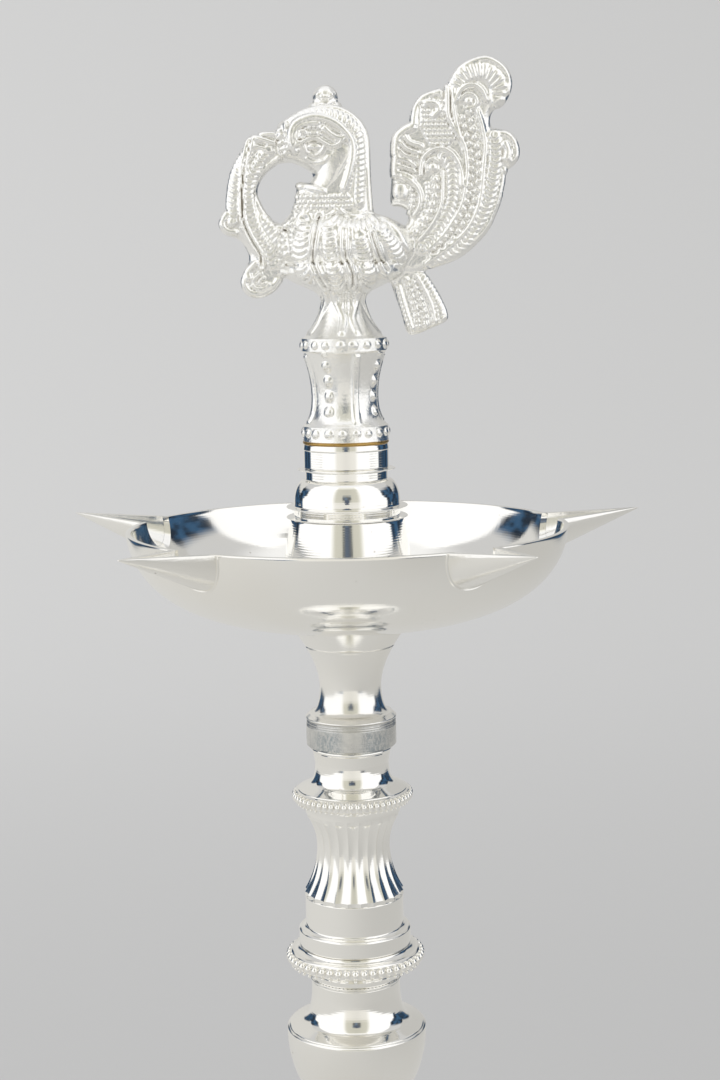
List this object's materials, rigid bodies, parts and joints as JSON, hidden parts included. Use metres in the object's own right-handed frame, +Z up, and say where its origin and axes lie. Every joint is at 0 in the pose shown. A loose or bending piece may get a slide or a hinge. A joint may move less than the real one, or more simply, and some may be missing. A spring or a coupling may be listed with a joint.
{
  "type": "standing oil lamp",
  "caption": "Standing oil lamp: turned stem on a domed base, a round oil bowl with pointed wick spouts, a bell-shaped neck and a crested-bird finial, silver plated.",
  "frame": {"origin": "on the floor under the lamp's axis, in the plane of the foot ring", "axes": "+Z up along the tie rod; the bird faces -X; -Y is the side that the picture shows"},
  "size_m": [0.184, 0.184, 0.5014],
  "materials": {
    "polished_silver": "polished silver plate on brass",
    "satin_silver": "satin silver plate on turned brass",
    "cast_silver": "silver plate on a chased brass casting, toned in its recesses",
    "bare_brass": "bare brass",
    "steel": "plain zinc-grey steel",
    "seal_rubber": "black rubber sheet"
  },
  "bodies": {
    "stem": {"base_foot": "polished_silver", "base_washer": "steel", "base_nut": "steel", "tie_rod": "steel", "base_ring": "polished_silver", "baluster": "satin_silver", "plain_ring": "polished_silver", "lower_fluted_spool": "satin_silver", "urn_ring": "polished_silver", "urn_stem": "polished_silver", "urn_body": "satin_silver", "cove_spool": "polished_silver", "lower_bead_ring": "polished_silver", "stepped_collar": "satin_silver", "fluted_spool": "satin_silver", "upper_bead_ring": "polished_silver", "upper_spool": "polished_silver", "coupling_band": "satin_silver", "stem_cup": "satin_silver"},
    "bowl": {"bowl": "polished_silver", "spout_1": "satin_silver", "spout_2": "satin_silver", "spout_3": "satin_silver", "spout_4": "satin_silver", "spout_5": "satin_silver"},
    "seal": {"oil_seal": "seal_rubber"},
    "neck": {"neck_column": "polished_silver"},
    "gold_washer": {"finial_washer": "bare_brass"},
    "finial": {"finial_stud": "bare_brass", "finial_pedestal": "cast_silver", "finial_bird": "cast_silver"}
  },
  "joints": [
    {"name": "bowl_turn", "type": "hinge", "parent": "stem", "child": "bowl", "pos_m": [0, 0, 0.345], "axis": [0, 0, 1], "continuous": true},
    {"name": "neck_lift", "type": "slide", "parent": "stem", "child": "seal", "axis": [0, 0, 1], "range_m": [0, 0.024]},
    {"name": "neck_turn", "type": "hinge", "parent": "seal", "child": "neck", "pos_m": [0, 0, 0.345], "axis": [0, 0, 1], "range_deg": [0, 5760]},
    {"name": "finial_lift", "type": "slide", "parent": "neck", "child": "gold_washer", "axis": [0, 0, 1], "range_m": [0, 0.0125]},
    {"name": "finial_turn", "type": "hinge", "parent": "gold_washer", "child": "finial", "pos_m": [0, 0, 0.394], "axis": [0, 0, 1], "range_deg": [0, 3600]}
  ],
  "couplings": [
    {"joint": "neck_lift", "follows": "neck_turn", "m_per_rad": 0.00023873},
    {"joint": "finial_lift", "follows": "finial_turn", "m_per_rad": 0.00019894}
  ]
}
